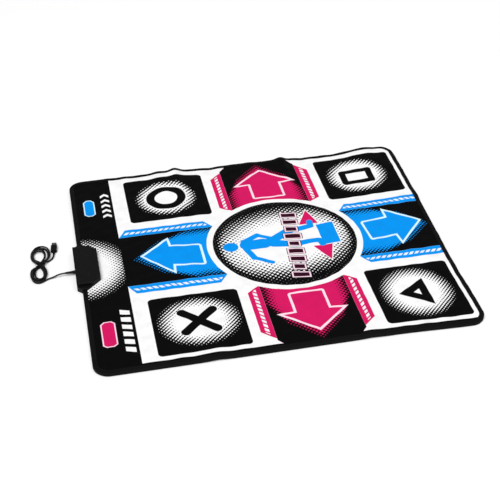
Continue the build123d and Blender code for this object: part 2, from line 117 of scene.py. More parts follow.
# cord: one lead wound into a figure of eight
cord = {
    "thick": 4.0, "length": 1.86, "turns": 5, "smooth": 10, "sides": 6,
    "lead": [(-18, 501, 9.4), (-18, 512, 9.4), (-19.3, 523, 6.8), (-21.6, 534, 3.5), (-22.4, 543.5, 2.2)],
    "tail": [(48.5, 541.5, 3.2), (57, 532, 2.5), (66.5, 526.2, 3.9), (76.96, 525.28, 3.9)],
    "nearMid": (-3.0, 566.5), "nearHalf": (27.5, 15.5),
    "farMid": (80.0, 561.0), "farHalf": (28.5, 18.5),
    "square": 0.88, "spread": 1.05,                   # below 1 squares a loop off; above 1 widens it
    "grow": [4.0, -3.2, 0.8, 4.6, -4.4, -1.0],        # each turn is this much larger or smaller
    "growAlong": 0.6, "scaleAlong": 0.7,              # and this share of it counts along the mat
    "height": [2.1, 2.1, 5.8, 5.7, 5.4, 9.2],
    "nearShift": [(0, 0), (2.0, 3.0), (-2.5, -3.0), (1.0, 0.4), (3.0, -4.0), (0, 0)],
    "farShift": [(0, 0), (3.0, 3.0), (-3.0, -3.0), (1.0, -4.0), (-6.0, 2.0)],
    "farScale": [1, 1, 1, 1, 0.9],
    # degrees round each loop: the near one out and back, the far one, and the last half turn
    "firstStart": (196, 172), "laterStart": (206, 176), "nearOut": (146, 116, 86, 54),
    "farRound": (232, 264, 296, 328, 0, 32, 64, 96, 128),
    "nearBack": (308, 280, 252), "lastRound": (222, 192, 160, 128, 96, 60),
    "tieX": (29, 42), "tieY": (565, 558),             # where the turns cross under the tie
    "crossShift": [-5, -2.5, 0, 2.5, 5],              # side by side there
    "crossHeight": [2.3, 4.9, 2.3, 4.9, 2.3], "crossOver": 5.6,
    "overTie": [(29, 562, 10.6), (40, 551, 8.6)],
}


def loopPoint(mid, half, angle, grow, height, shift, scale=1):
    c, s = math.cos(math.radians(angle)), math.sin(math.radians(angle))
    c = math.copysign(abs(c) ** cord["square"], c)
    s = math.copysign(abs(s) ** cord["square"], s)
    reachX = (half[0] * scale + grow) * cord["spread"]
    reachY = (half[1] * scale ** cord["scaleAlong"] + grow * cord["growAlong"]) * cord["spread"]
    return mid[0] + shift[0] + reachX * c, mid[1] + shift[1] + reachY * s, height


def nearPoints(angles, grow, height, shift):
    return [loopPoint(cord["nearMid"], cord["nearHalf"], angle, grow, height, shift) for angle in angles]


def cordPoints():
    points = list(cord["lead"])
    grow, height, near, far = cord["grow"], cord["height"], cord["nearShift"], cord["farShift"]
    (tieLeft, tieRight), (tieFront, tieBack) = cord["tieX"], cord["tieY"]
    for turn in range(cord["turns"]):
        after = turn + 1
        start = cord["laterStart"] if turn else cord["firstStart"]
        points += nearPoints((*start, *cord["nearOut"]), grow[turn], height[turn], near[turn])
        across, low = cord["crossShift"][turn], cord["crossHeight"][turn]
        points += [(tieLeft, tieFront + across, low), (tieRight, tieBack + across, low)]
        points += [loopPoint(cord["farMid"], cord["farHalf"], angle, grow[turn], height[turn], far[turn],
                             cord["farScale"][turn]) for angle in cord["farRound"]]
        over = low + cord["crossOver"]
        points += [(tieRight, tieFront - across, over), (tieLeft, tieBack - across, over)]
        level = (height[turn] + height[after]) / 2 if height[after] > height[turn] else height[after]
        points += nearPoints(cord["nearBack"], (grow[turn] + grow[after]) / 2, level, near[after])
    points += nearPoints(cord["lastRound"], grow[-1], height[-1], near[-1])
    return points + cord["overTie"] + cord["tail"]


def makeCord():
    curve = bpy.data.curves.new("leadCord", "CURVE")
    curve.dimensions = "3D"
    spline = curve.splines.new("NURBS")
    points = cordPoints()
    spline.points.add(len(points) - 1)
    for knot, place in zip(spline.points, points):
        knot.co = (*(c * millimetre for c in place), 1)
        knot.radius = cord["thick"] / 2 * millimetre
    spline.order_u = 3
    spline.use_endpoint_u = True
    spline.resolution_u = cord["smooth"]
    curve.bevel_depth = 1.0  # each point's radius gives the thickness
    curve.bevel_resolution = cord["sides"]
    curve.use_fill_caps = True
    piece = bpy.data.objects.new("leadCord", curve)
    bpy.context.scene.collection.objects.link(piece)
    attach(piece, "mat")
    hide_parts("cord_lead", "cord_hank", "cord_tail")
    return piece


leadCord = makeCord()
print("stage: cord")


# how the soft mat lies: low ridges along its edges, and a little drawn in
lie = {
    # place, reach along x, reach along y, height
    "ridges": [((410, 166), (150, 18), 9.6), ((410, 208), (120, 26), 5.2), ((410, -141), (125, 16), 8.6),
               ((410, -376), (70, 40), 5.6), ((-410, 186), (60, 22), 3.4), ((-395, -176), (55, 24), 2.8),
               ((132, -465), (26, 70), 3.6), ((-187, -465), (24, 60), 3.0), ((300, 465), (60, 40), 1.6)],
    "farPull": [(-465, 5), (-443, 7), (-384, 9), (-337, 13), (-280, 19), (-229, 18.5), (-199, 19), (-171, 15),
                (-106, 12), (-25, 9), (34, 12), (64, 14), (92, 13), (120, 9), (206, 9), (320, 9), (376, 9),
                (433, 10), (465, 10)],
    # place along the back edge, and how far it is drawn in (or let out) along y
    "backPull": [(-410, 11), (-300, 10), (-187, 12), (-50, 6), (135, 0), (300, -4), (410, -5)],
    "pullFrom": -60, "backFrom": 100,                 # how far in from the edge the pulls begin
    "nearFlare": 7.0, "flareAlong": (230, 440), "flareAcross": 120,
    "clear": (10.0, 46.0),                            # it lies flat this near the control box
    "wobble": 0.75, "waveShare": 2.6,
    "waves": [(0.137, 0.021, 0.3), (0.031, 0.142, 1.7), (0.092, -0.088, 4.1), (-0.061, 0.118, 2.2),
              (0.171, 0.094, 5.3)],
}
pullAt = np.array(lie["farPull"], float)
backAt = np.array(lie["backPull"], float)


def ease(value, low, high):
    t = np.clip((value - low) / (high - low), 0, 1)
    return t * t * (3 - 2 * t)


def lay(x, y, z, loose=1.0):
    # the place of a flat point of the mat once the mat lies on the floor, in millimetres
    x, y, z = np.broadcast_arrays(*(np.asarray(v, float) for v in (x, y, z)))
    aside = np.maximum(np.abs(x - boxMid) - (shellHigh[0] - boxMid), 0)
    fromBox = np.hypot(aside, np.maximum(boxBack - y, 0))
    free = ease(fromBox, *lie["clear"])
    lift = np.zeros(x.shape)
    for (atX, atY), (reachX, reachY), high in lie["ridges"]:
        lift = lift + high * np.exp(-((x - atX) / reachX) ** 2 - ((y - atY) / reachY) ** 2)
    swell = sum(np.sin(a * x + b * y + c) for a, b, c in lie["waves"]) / lie["waveShare"]
    wobble = np.maximum(1.0 + swell, 0.0) * lie["wobble"] * loose  # the cover only ever lifts off the foam
    soft = ease(z, 1.0, coverLow[2])
    pull = np.interp(y, pullAt[:, 0], pullAt[:, 1]) * ease(x, lie["pullFrom"], tapeHigh[0])
    flare = lie["nearFlare"] * ease(-y, *lie["flareAlong"]) * ease(-x, lie["flareAcross"], -tapeLow[0])
    drawn = np.interp(x, backAt[:, 0], backAt[:, 1]) * ease(-y, lie["backFrom"], -tapeLow[1])
    return x - (pull + flare) * free, y + drawn * free, z + (lift + wobble * soft) * free


def layNormal(x, y, z, loose, step=0.8):
    along = np.array(lay(x + step, y, z, loose)) - np.array(lay(x - step, y, z, loose))
    across = np.array(lay(x, y + step, z, loose)) - np.array(lay(x, y - step, z, loose))
    normal = np.cross(along.T, across.T)
    return normal / np.linalg.norm(normal, axis=-1, keepdims=True)


def newPiece(name, mesh, slot, *materials):
    piece = bpy.data.objects.new(name, mesh)
    bpy.context.scene.collection.objects.link(piece)
    for material in materials:
        mesh.materials.append(material)
    return piece


def markFlat(mesh, places):
    # the flat place of each point, in millimetres, which the print is drawn on
    flat = mesh.attributes.new("flatPlace", "FLOAT_VECTOR", "POINT")
    flat.data.foreach_set("vector", np.asarray(places, np.float32).ravel())


# node shorthand
class Flow:
    def __init__(self, tree, socket):
        self.tree, self.socket = tree, socket

    def calc(self, kind, *others, clamp=False):
        node = self.tree.nodes.new("ShaderNodeMath")
        node.operation, node.use_clamp = kind, clamp
        for slotIn, value in zip(node.inputs, (self, *others)):
            if isinstance(value, Flow):
                self.tree.links.new(value.socket, slotIn)
            else:
                slotIn.default_value = value
        return Flow(self.tree, node.outputs[0])

    def __add__(self, other): return self.calc("ADD", other)
    def __radd__(self, other): return self.calc("ADD", other)
    def __sub__(self, other): return self.calc("SUBTRACT", other)
    def __rsub__(self, other): return self.calc("MULTIPLY", -1.0).calc("ADD", other)
    def __mul__(self, other): return self.calc("MULTIPLY", other)
    def __truediv__(self, other): return self.calc("DIVIDE", other)
    def __neg__(self): return self.calc("MULTIPLY", -1.0)
    def __abs__(self): return self.calc("ABSOLUTE")


def top(a, b): return a.calc("MAXIMUM", b) if isinstance(a, Flow) else b.calc("MAXIMUM", a)
def bottom(a, b): return a.calc("MINIMUM", b) if isinstance(a, Flow) else b.calc("MINIMUM", a)
def clamp01(a): return a.calc("ADD", 0.0, clamp=True)
def cosine(a): return a.calc("COSINE")
def far(a, b): return (a * a + b * b).calc("SQRT")
def inside(distance, soft=0.35): return clamp01(0.5 - distance / (2 * soft))
def both(a, b): return a * b
def either(a, b): return top(a, b)


def boxShape(x, y, halfX, halfY, rounding=0.0):
    dx, dy = abs(x) - (halfX - rounding), abs(y) - (halfY - rounding)
    return far(top(dx, 0.0), top(dy, 0.0)) + bottom(top(dx, dy), 0.0) - rounding


def capsule(x, y, ax, ay, bx, by, r):
    dx, dy = bx - ax, by - ay
    t = clamp01(((x - ax) * dx + (y - ay) * dy) / (dx * dx + dy * dy))
    return far(x - ax - t * dx, y - ay - t * dy) - r


def dots(x, y, pitch, share, crisp=5.0, turn=45.0, lean=0.5):
    # printer's dots: the part of the surface given by share is covered
    rate = 2 * math.pi / pitch
    c, s = math.cos(math.radians(turn)) * rate, math.sin(math.radians(turn)) * rate
    spot = cosine(x * c + y * s) * (0.5 * lean) + cosine(y * c - x * s) * (0.5 * (1 - lean)) + 0.5
    return clamp01((spot + share - 1.0) * crisp + 0.5)


def mixColour(tree, mask, under, over):
    node = tree.nodes.new("ShaderNodeMix")
    node.data_type = "RGBA"
    if isinstance(mask, Flow):
        tree.links.new(mask.socket, node.inputs[0])
    else:
        node.inputs[0].default_value = mask
    for slotIn, value in ((node.inputs[6], under), (node.inputs[7], over)):
        if isinstance(value, Flow):
            tree.links.new(value.socket, slotIn)
        else:
            slotIn.default_value = (*value, 1)
    return Flow(tree, node.outputs[2])


def freshMaterial(name):
    material = bpy.data.materials.new(name)
    material.use_nodes = True
    tree = material.node_tree
    return material, tree, tree.nodes["Principled BSDF"]


def noise(tree, where, scale, detail=2.0, rough=0.5):
    node = tree.nodes.new("ShaderNodeTexNoise")
    node.inputs["Scale"].default_value = scale
    node.inputs["Detail"].default_value = detail
    node.inputs["Roughness"].default_value = rough
    tree.links.new(where, node.inputs["Vector"])
    return Flow(tree, node.outputs["Fac"])


def objectPlace(tree):
    return tree.nodes.new("ShaderNodeTexCoord").outputs["Object"]


def addBump(tree, shader, height, strength, distance):
    node = tree.nodes.new("ShaderNodeBump")
    node.inputs["Strength"].default_value = strength
    node.inputs["Distance"].default_value = distance
    tree.links.new(height.socket, node.inputs["Height"])
    tree.links.new(node.outputs[0], shader.inputs["Normal"])


# printed cover
ink = {
    "black": (0.0016, 0.0016, 0.0018), "white": (0.87, 0.87, 0.87),
    "blue": (0.001, 0.275, 0.81), "pink": (0.62, 0.009, 0.112),
    "iceEdge": (0.66, 0.87, 0.95), "roseEdge": (0.93, 0.68, 0.78),
    "dash": (0.80, 0.83, 0.86), "wedgeEdge": (0.86, 0.86, 0.88), "slabEdge": (0.86, 0.88, 0.92),
    "plum": (0.030, 0.003, 0.012), "worn": (0.55, 0.55, 0.55),
}
sheen = {"roughness": 0.50, "specular": 0.04, "shade": 0.86, "mottle": 0.16, "speck": 0.06,
         "worn": 0.006, "threads": 7.0, "bump": 0.35, "bumpDeep": 0.0010}
stripLine = 355.0  # the plain front strip begins here


def flatXY(tree):
    node = tree.nodes.new("ShaderNodeAttribute")
    node.attribute_name = "flatPlace"
    split = tree.nodes.new("ShaderNodeSeparateXYZ")
    tree.links.new(node.outputs["Vector"], split.inputs[0])
    return Flow(tree, split.outputs[0]), Flow(tree, split.outputs[1]), node.outputs["Vector"]


def splitOf(tree, where):
    split = tree.nodes.new("ShaderNodeSeparateXYZ")
    tree.links.new(where, split.inputs[0])
    return tuple(Flow(tree, out) for out in split.outputs)


def finishPrint(tree, shader, colour, where):
    # ink over coated cloth: faint mottling, a fine weave and small creases
    mottle = noise(tree, where, 0.045, 3.0)
    speck = noise(tree, where, 0.9, 2.0)
    shade = clamp01(sheen["shade"] + mottle * sheen["mottle"] + speck * sheen["speck"])
    tint = tree.nodes.new("ShaderNodeMix")
    tint.data_type, tint.blend_type = "RGBA", "MULTIPLY"
    tint.inputs[0].default_value = 1.0
    tree.links.new(colour.socket, tint.inputs[6])
    grey = tree.nodes.new("ShaderNodeCombineColor")
    for slotIn in grey.inputs:
        tree.links.new(shade.socket, slotIn)
    tree.links.new(grey.outputs[0], tint.inputs[7])
    scuff = clamp01((noise(tree, where, 0.11, 5.0, 0.65) - 0.60) * 5.0)
    worn = mixColour(tree, scuff * sheen["worn"], Flow(tree, tint.outputs[2]), ink["worn"])
    tree.links.new(worn.socket, shader.inputs["Base Color"])
    rough = sheen["roughness"] + mottle * 0.14 + scuff * 0.08
    tree.links.new(rough.socket, shader.inputs["Roughness"])
    shader.inputs["Specular IOR Level"].default_value = sheen["specular"]
    x, y, _ = splitOf(tree, where)
    weave = cosine(x * sheen["threads"]) * cosine(y * sheen["threads"])
    crease = noise(tree, where, 0.035, 4.0, 0.6)
    addBump(tree, shader, weave * 0.10 + crease * 5.0 + speck * 0.35, sheen["bump"], sheen["bumpDeep"])


def turned(x, y, way):
    # across and outward for the side that an arrow points to
    v = y - fieldMid
    return {"front": (x, v), "back": (-x, -v), "right": (-v, x), "left": (v, -x)}[way]


def coloursOf(way):
    return (ink["blue"], ink["iceEdge"]) if way in ("front", "back") else (ink["pink"], ink["roseEdge"])


stripe = {
    "low": 106.0, "high": 138.0,
    # where the band ends: place, slant across the band, and squareness of the edge
    "inner": (170.0, 0.72, 0.81),
    "outer": {"front": (418.5, 0.56, 0.87), "back": (402.0, 0.0, 1.0), "right": (373.0, 0.92, 0.74),
              "left": (373.0, 0.92, 0.74)},
    "dashStep": 15.0, "dashWide": 3.7, "dashHigh": 4.6, "dashLean": 0.85, "dashSquare": 0.76, "dashIn": 5.0,
}


def addStripes(tree, colour, across, out, way):
    # two slanted bands beside an arrow, with short slanting dashes down the middle of each
    u = abs(across)
    band = top(stripe["low"] - u, u - stripe["high"])
    place, slant, square = stripe["inner"]
    band = top(band, (place - out + (u - stripe["low"]) * slant) * square)
    place, slant, square = stripe["outer"][way]
    band = top(band, (out - place + (u - stripe["low"]) * slant) * square)
    colour = mixColour(tree, inside(band), colour, coloursOf(way)[0])
    fromMiddle = u - (stripe["low"] + stripe["high"]) / 2
    lean = out + fromMiddle * stripe["dashLean"]
    folded = abs((lean / stripe["dashStep"]).calc("FRACT") - 0.5) * stripe["dashStep"]
    dash = top(folded * stripe["dashSquare"] - stripe["dashWide"], abs(fromMiddle) - stripe["dashHigh"])
    dash = top(dash, band + stripe["dashIn"])
    return mixColour(tree, inside(dash), colour, ink["dash"])


disc = {"black": 187.0, "white": 203.0}
arrowPanel = {
    "cut": 379.0, "cutSlope": 0.9, "rim": 1.6, "outline": 3.1, "dots": 8.0,
    # the black creeps in from ahead of the arrow and from the sides: place and reach
    "ahead": (346.0, 56.0), "aside": (68.0, 46.0), "asideFrom": (262.0, 30.0, 0.75), "solid": (408.0, 8.0),
    "shaftMid": 264.5, "shaftHalf": (42.5, 47.5), "shaftRound": 5.0,
    "headSquare": 0.73, "barbFrom": 44.0, "barbSlope": 0.09,
}
# each arrow is printed a little askew
arrowForm = {
    "front": {"skew": 0.14, "pivot": 288.0, "aside": 0.0, "onward": 0.0, "lean": 0.0, "slope": 1.0,
              "tip": 371.0, "barb": 294.0},
    "back": {"skew": -0.12, "pivot": 230.0, "aside": 0.0, "onward": 3.0, "lean": 0.08, "slope": 1.0,
             "tip": 371.5, "barb": 287.5},
    "right": {"skew": 0.0, "pivot": 0.0, "aside": 5.0, "onward": 0.0, "lean": 0.0, "slope": 0.87,
              "tip": 361.0, "barb": 287.5},
    "left": {"skew": 0.0, "pivot": 0.0, "aside": 0.0, "onward": 0.0, "lean": 0.0, "slope": 0.87,
             "tip": 361.0, "barb": 288.0},
}


def addArrowPanel(tree, colour, across, out, way):
    hue, edge = coloursOf(way)
    u = abs(across)
    beyond = disc["white"] - far(across, out)
    side = u - stripe["low"]
    area = top(side, beyond)
    if way in ("right", "left"):
        area = top(area, side + (out - arrowPanel["cut"]) * arrowPanel["cutSlope"])
    place, reach = arrowPanel["ahead"]
    ahead = clamp01((out + u - place) / reach)
    place, reach = arrowPanel["aside"]
    fromPlace, fromReach, fromShare = arrowPanel["asideFrom"]
    aside = clamp01((u - place) / reach) * clamp01((u + out - fromPlace) / fromReach + fromShare)
    dark = clamp01(ahead + aside)
    specks = clamp01(dots(across, out, arrowPanel["dots"], dark * 1.25 - 0.12, 6.0, 45.0, 0.55))
    place, reach = arrowPanel["solid"]
    solid = clamp01((out + u - place) / reach)
    ground = mixColour(tree, either(specks, solid), hue, ink["black"])
    rim = both(inside(area - arrowPanel["rim"]), inside(beyond - arrowPanel["rim"]))
    colour = mixColour(tree, both(rim, inside(side)), colour, edge)
    colour = mixColour(tree, inside(area), colour, ground)
    # the arrow: head and shaft, with a pale outline
    form = arrowForm[way]
    sideways = across - (out - form["pivot"]) * form["skew"] - form["aside"]
    onward = out - form["onward"] - across * form["lean"]
    wide = abs(sideways)
    fromShaft = onward - arrowPanel["shaftMid"]
    shaft = boxShape(sideways, fromShaft, *arrowPanel["shaftHalf"], arrowPanel["shaftRound"])
    point = (onward + wide * form["slope"] - form["tip"]) * arrowPanel["headSquare"]
    barbs = form["barb"] + (wide - arrowPanel["barbFrom"]) * arrowPanel["barbSlope"] - onward
    arrow = bottom(shaft, top(point, barbs))
    colour = mixColour(tree, inside(arrow - arrowPanel["outline"]), colour, edge)
    return mixColour(tree, inside(arrow + arrowPanel["outline"]), colour, hue)


# the four black corner panels; the last entry is the distance from the middle beyond which the near edge is
# black
panel = {"mid": 273.5, "across": 105.0, "midAlong": 270.75, "along": 109.25, "round": 11.0, "nearBand": 391.5}


def addPanels(tree, colour, x, y):
    # the four black corner panels
    v = y - fieldMid
    shape = boxShape(abs(x) - panel["mid"], abs(v) - panel["midAlong"], panel["across"], panel["along"],
                     panel["round"])
    return mixColour(tree, inside(shape), colour, ink["black"])


def addNearBand(tree, colour, x):
    # a black band along the near edge, just inside the tape, on the near side only
    return mixColour(tree, inside(x + panel["nearBand"]), colour, ink["black"])


def addGlow(tree, colour, x, y, glow):
    # white dots that run together towards the middle of a panel
    dx, dy = x - glow["mid"][0], y - glow["mid"][1]
    reach = far(dx / glow["reach"][0], dy / glow["reach"][1])
    share = clamp01((1.0 - reach) / (1.0 - glow["inner"]))
    specks = dots(x, y, glow["pitch"], share * 1.3 - 0.16, 8.0, 45.0, 0.70)
    return mixColour(tree, specks, colour, ink["white"])


marks = {
    "ring": {"mid": (273.0, 209.0), "radius": 42.5, "stroke": 11.5},
    "cross": {"low": (-306, 169), "high": (-234, 243), "stroke": 11.5},
    "square": {"mid": (272.0, -328.5), "half": (28.5, 38.0), "rounding": 1.0, "stroke": 9.3},
    "triangle": {"mid": -275.0, "apex": -287.0, "base": -362.5, "slope": 75.0 / 49.0, "inset": 10.0,
                 "stroke": 10.5},
}


def symbolRing(x, y):
    ring = marks["ring"]
    return abs(far(x - ring["mid"][0], y - ring["mid"][1]) - ring["radius"]) - ring["stroke"]


def symbolCross(x, y):
    (x0, y0), (x1, y1), r = marks["cross"]["low"], marks["cross"]["high"], marks["cross"]["stroke"]
    return bottom(capsule(x, y, x0, y0, x1, y1, r), capsule(x, y, x0, y1, x1, y0, r))


def symbolSquare(x, y):
    square = marks["square"]
    shape = boxShape(x - square["mid"][0], y - square["mid"][1], *square["half"], square["rounding"])
    return abs(shape) - square["stroke"]


def symbolTriangle(x, y):
    triangle = marks["triangle"]
    slope = triangle["slope"]
    side = (abs(x - triangle["mid"]) * slope + (y - triangle["apex"])) * (1 / math.hypot(slope, 1.0))
    return abs(top(side, triangle["base"] - y) + triangle["inset"]) - triangle["stroke"]


corners = {
    # the mark, and the white glow of dots behind it
    "front_right": {"mark": symbolRing, "mid": (273.0, 209.0), "reach": (90.0, 89.0),
                    "inner": 0.56, "pitch": 9.6},
    "front_left": {"mark": symbolCross, "mid": (-271.0, 206.0), "reach": (96.0, 108.0),
                   "inner": 0.48, "pitch": 7.8},
    "back_right": {"mark": symbolSquare, "mid": (276.0, -330.0), "reach": (93.0, 93.0),
                   "inner": 0.54, "pitch": 9.2},
    "back_left": {"mark": symbolTriangle, "mid": (-273.0, -334.0), "reach": (101.0, 101.0),
                  "inner": 0.48, "pitch": 7.2},
}


def printStart(name):
    material, tree, shader = freshMaterial(name)
    x, y, where = flatXY(tree)
    return material, tree, shader, x, y, where


def plainGround(tree, colour):
    return mixColour(tree, 0.0, colour, colour)


def frontGround(tree, y):
    # white, with the black strip in front
    return mixColour(tree, inside(stripLine - y), ink["white"], ink["black"])


def cornerPrint(zone):
    material, tree, shader, x, y, where = printStart("print_" + zone)
    colour = addPanels(tree, frontGround(tree, y), x, y)
    colour = addGlow(tree, colour, x, y, corners[zone])
    colour = mixColour(tree, inside(corners[zone]["mark"](x, y)), colour, ink["black"])
    colour = addNearBand(tree, colour, x)
    finishPrint(tree, shader, colour, where)
    return material


burst = {"mid": -11.0, "halfX": 140.0, "deep": 136.0, "fade": 0.52, "front": 465.0, "past": 2.0, "dots": 8.0}


def addBurst(tree, colour, x, y):
    # burst of dots behind the control box, cut straight where the strip ends
    dx, dy = x - burst["mid"], top(burst["front"] - y, 0.0)
    reach = far(dx / burst["halfX"], dy / burst["deep"])
    share = clamp01((1.0 - reach) / burst["fade"])
    specks = dots(x, y, burst["dots"], share * 1.25 - 0.12, 9.0, 45.0, 0.5)
    return mixColour(tree, both(specks, inside(stripLine + burst["past"] - y)), colour, ink["white"])


def arrowPrint(zone):
    material, tree, shader, x, y, where = printStart("print_" + zone)
    way = zone.split("_")[0]
    across, out = turned(x, y, way)
    colour = frontGround(tree, y) if way == "front" else plainGround(tree, ink["white"])
    colour = addPanels(tree, colour, x, y)
    colour = addArrowPanel(tree, colour, across, out, way)
    colour = addStripes(tree, colour, across, out, way)
    if way == "front":
        colour = addBurst(tree, colour, x, y)
    colour = addNearBand(tree, colour, x)
    finishPrint(tree, shader, colour, where)
    return material


keyBars = {"squareOff": 2.0, "rounding": 3.0, "cutOff": 10.0, "edge": 1.5, "bars": [
    {"mid": (266.0, 418.5), "half": (38.0, 15.5), "way": "front"},
    {"mid": (-276.0, 418.0), "half": (45.0, 18.0), "way": "right"}]}
keyRows = {"mid": 374.0, "halfHigh": 11.5, "rows": [
    {"first": 222.0, "step": 25.0, "count": 5, "kind": "chevron", "slant": 0.75, "half": 5.2, "aside": 3.0},
    {"first": -338.0, "step": 27.0, "count": 6, "kind": "block", "slant": 0.28, "half": 8.0}]}


def inRow(x, first, step, count):
    # number and place of a mark in a row, and where the row is
    lead = (x - first + step / 2) / step
    index = lead.calc("FLOOR")
    place = (lead - index - 0.5) * step
    return index, place, both(inside(-index - 0.5), inside(index - (count - 0.5)))


def frontPrint():
    material, tree, shader, x, y, where = printStart("print_strip")
    colour = plainGround(tree, ink["black"])
    across, out = turned(x, y, "front")
    colour = addStripes(tree, colour, across, out, "front")
    colour = addBurst(tree, colour, x, y)
    for bar in keyBars["bars"]:  # start and select keys: bars with cut corners
        (midX, midY), (halfX, halfY), (hue, edge) = bar["mid"], bar["half"], coloursOf(bar["way"])
        key = boxShape(x - midX, y - midY, halfX, halfY - keyBars["squareOff"], keyBars["rounding"])
        cut = abs(x - midX) + abs(y - midY) - (halfX + halfY - keyBars["cutOff"])
        key = top(key, cut * math.sqrt(0.5))
        colour = mixColour(tree, inside(key - keyBars["edge"]), colour, edge)
        colour = mixColour(tree, inside(key + keyBars["edge"]), colour, hue)
    for row in keyRows["rows"]:  # a row of plain marks under each key
        index, place, shown = inRow(x, row["first"], row["step"], row["count"])
        rise = y - keyRows["mid"]
        if row["kind"] == "chevron":
            side = abs(place + abs(rise) * row["slant"] - row["aside"])
        else:
            side = abs(place - rise * row["slant"])
        mark = top(side - row["half"], abs(rise) - keyRows["halfHigh"])
        colour = mixColour(tree, both(inside(mark), shown), colour, ink["white"])
    finishPrint(tree, shader, colour, where)
    return material


dancer = {  # a plain standing pictogram: limbs as thick strokes, across and along the mat
    "limbs": [(2, 98, 0, 58, 21), (0, 58, 3, 30, 17), (-12, 106, -56, 92, 8.5), (-56, 92, -84, 52, 7),
              (18, 106, 40, 66, 8.5), (40, 66, 20, 34, 7), (-6, 30, -18, -24, 14), (-18, -24, -14, -84, 10),
              (10, 30, 42, -18, 14), (42, -18, 52, -76, 10), (-14, -88, -34, -92, 8.5),
              (52, -80, 74, -82, 8.5)],
    "head": (2, 143, 20),
}


centre = {
    "rim": (168.0, 100.0), "rimFade": (178.0, 14.0), "lean": 0.10, "squeeze": 0.74, "dots": 9.5,
    # two wedges and a slab under the figure's feet: tip, and which way the wedge opens
    "wedges": [((130.0, -84.0), 1), ((-104.0, -98.0), -1)], "wedgeLong": 66.0, "wedgeLean": 0.10,
    "wedgeSquare": 0.92, "wedgeOpen": 0.36, "edge": 2.4,
    "slabMid": (12.0, -118.0), "slabHalf": (47.0, 23.0), "slabLean": 0.12, "slabRound": 2.0,
    # leaning bars across the disc
    "barFirst": -148.5, "barStep": 33.0, "barCount": 9, "barHigh": (13.0, 10.0, 1.9), "barHalf": 11.5,
    "barDrop": 22.0, "barSlope": 0.10, "barLean": 0.18, "barEdges": (2.6, 0.6, -3.2),
}


def centrePrint():
    material, tree, shader, x, y, where = printStart("print_centre")
    v = y - fieldMid
    colour = addPanels(tree, plainGround(tree, ink["white"]), x, y)
    sideways = inside(abs(v) - abs(x))
    for way in ("front", "right"):
        across, out = (x, abs(v)) if way == "front" else (v, abs(x))
        layered = addStripes(tree, addArrowPanel(tree, colour, across, out, way), across, out, way)
        mask = sideways if way == "right" else 1.0 - sideways
        colour = mixColour(tree, mask, colour, layered)
    radius = far(x, v)
    colour = mixColour(tree, inside(radius - disc["white"]), colour, ink["white"])
    colour = mixColour(tree, inside(radius - disc["black"]), colour, ink["black"])
    # white dots swell from the rim inward until they meet
    reach = far(x + v * centre["lean"], v * centre["squeeze"])
    share = clamp01((centre["rim"][0] - reach) / centre["rim"][1])
    rim = clamp01((centre["rimFade"][0] - radius) / centre["rimFade"][1])
    specks = dots(x, y, centre["dots"], (share * 1.22 - 0.06) * rim, 9.0, 45.0, 0.5)
    colour = mixColour(tree, specks, colour, ink["white"])
    for (tipX, tipV), sign in centre["wedges"]:
        run = (x - tipX) * sign
        side = abs(v - tipV + run * centre["wedgeLean"]) * centre["wedgeSquare"]
        wedge = top(side + run * centre["wedgeOpen"], -centre["wedgeLong"] - run)
        colour = mixColour(tree, inside(wedge - centre["edge"]), colour, ink["wedgeEdge"])
        colour = mixColour(tree, inside(wedge), colour, ink["pink"])
    (midX, midV), (halfX, halfV) = centre["slabMid"], centre["slabHalf"]
    slab = boxShape(x - midX + (v - midV) * centre["slabLean"], v - midV, halfX, halfV, centre["slabRound"])
    colour = mixColour(tree, inside(slab - centre["edge"]), colour, ink["slabEdge"])
    colour = mixColour(tree, inside(slab), colour, ink["blue"])
    figure = far(x - dancer["head"][0], v - dancer["head"][1]) - dancer["head"][2]
    for limb in dancer["limbs"]:
        figure = bottom(figure, capsule(x, v, *limb))
    colour = mixColour(tree, inside(figure), colour, ink["blue"])
    index, place, shown = inRow(x, centre["barFirst"], centre["barStep"], centre["barCount"])
    low, more, beat = centre["barHigh"]
    tall = low + abs(cosine(index * beat)) * more
    rise = v + centre["barDrop"] + x * centre["barSlope"]
    bar = top(abs(place - rise * centre["barLean"]) - centre["barHalf"], abs(rise) - tall)
    for edge, tone in zip(centre["barEdges"], ("black", "roseEdge", "plum")):
        colour = mixColour(tree, both(inside(bar - edge), shown), colour, ink[tone])
    finishPrint(tree, shader, colour, where)
    return material


regionNames = ["strip", "centre", "front_right", "front_left", "back_right", "back_left",
               "front_arrow", "back_arrow", "left_arrow", "right_arrow"]
regionEdge = {"half": 150, "radius": 204}  # the centre's own print reaches this far


def makePrints():
    prints = {"strip": frontPrint(), "centre": centrePrint()}
    for name in corners:
        prints[name] = cornerPrint(name)
    for name in regionNames:
        if name.endswith("arrow"):
            prints[name] = arrowPrint(name)
    return prints


prints = makePrints()
print("stage: prints", {name: len(m.node_tree.nodes) for name, m in prints.items()})


def regionOf(x, y):
    v, half = y - fieldMid, regionEdge["half"]
    if y > stripLine:
        name = "strip"
    elif abs(x) < half and abs(v) < half or math.hypot(x, v) < regionEdge["radius"]:
        name = "centre"
    elif abs(x) < half:
        name = "front_arrow" if v > 0 else "back_arrow"
    elif abs(v) < half:
        name = "right_arrow" if x > 0 else "left_arrow"
    else:
        name = ("front_" if v > 0 else "back_") + ("right" if x > 0 else "left")
    return regionNames.index(name)


